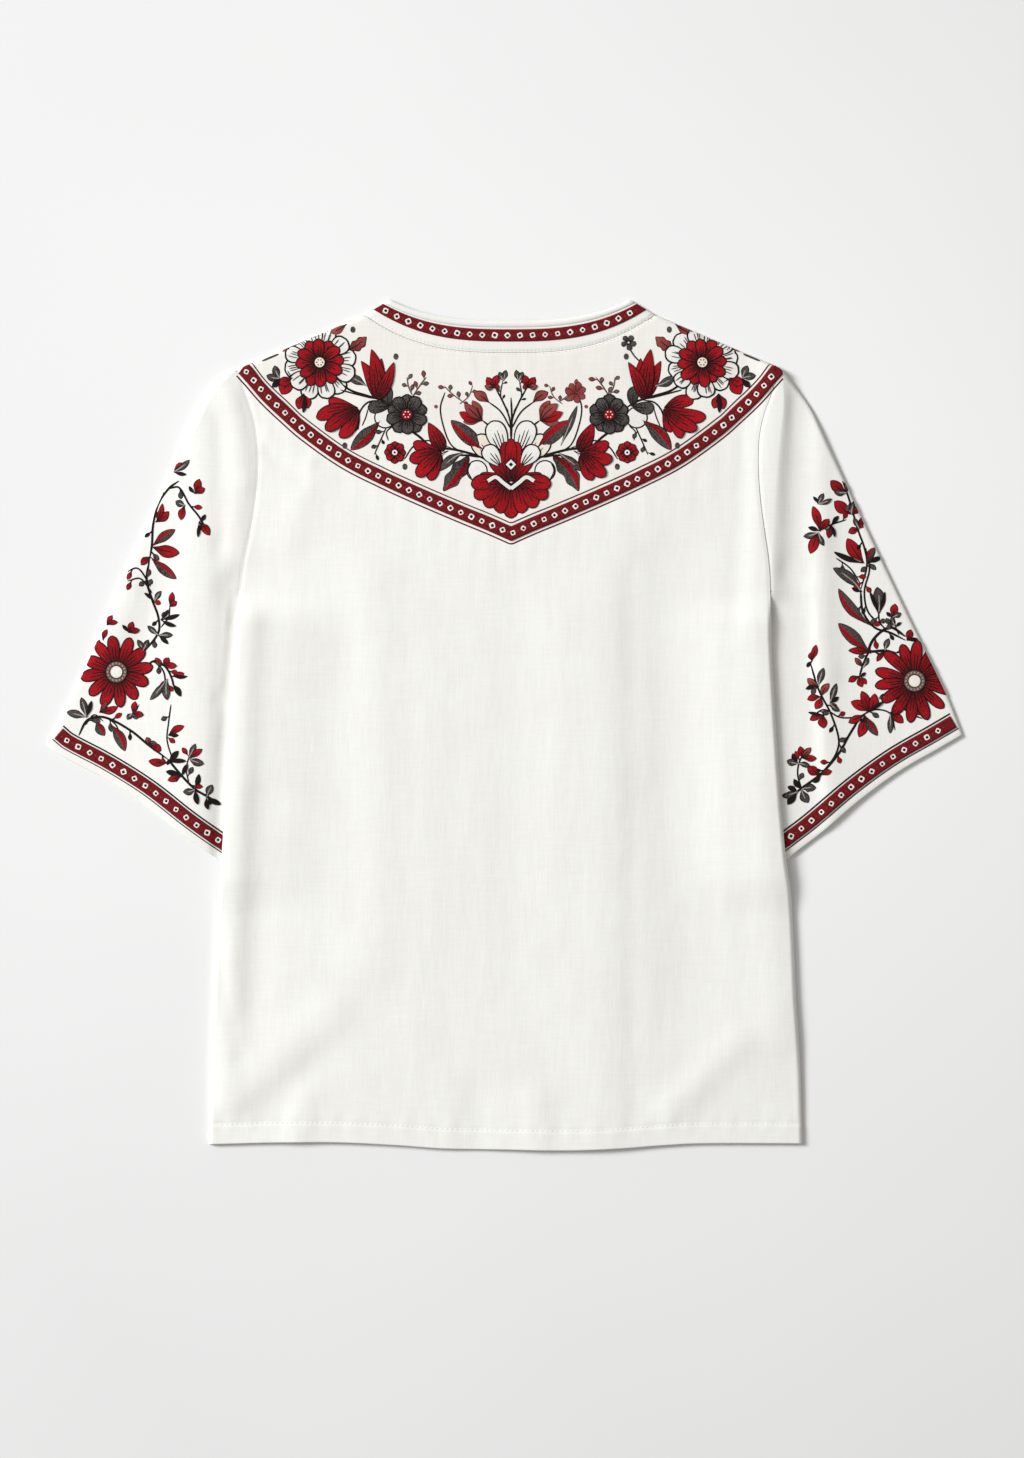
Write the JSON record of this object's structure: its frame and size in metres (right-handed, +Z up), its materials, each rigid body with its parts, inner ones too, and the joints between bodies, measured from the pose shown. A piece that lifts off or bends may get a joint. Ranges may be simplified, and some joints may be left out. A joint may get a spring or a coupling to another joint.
{
  "type": "v-neck blouse",
  "caption": "Loose short-sleeved blouse laid flat with its back up, shallow bound back neck, braid-edged yoke and cuffs, turned hem.",
  "frame": {"origin": "middle of the garment's outline, on the surface that it lies on", "axes": "+Z up out of the surface, +Y from the hem towards the neck, +X to the right as the back of the blouse is seen from above"},
  "size_m": [0.713, 0.663, 0.0085],
  "materials": {
    "white_linen": "matt plain-weave linen blend",
    "white_band": "matt plain-weave linen blend, topstitched",
    "red_braid": "matt woven braid with a row of small white diamonds"
  },
  "bodies": {
    "root": {"back_panel": "white_linen", "front_panel": "white_linen", "sleeve_left": "white_linen", "sleeve_right": "white_linen", "neckband_back": "white_band", "neck_binding_back": "white_band", "neckband_front_left": "white_band", "neckband_front_right": "white_band", "neck_tape": "red_braid", "yoke_tape": "red_braid", "cuff_tape_left": "red_braid", "cuff_tape_right": "red_braid"}
  },
  "joints": []
}
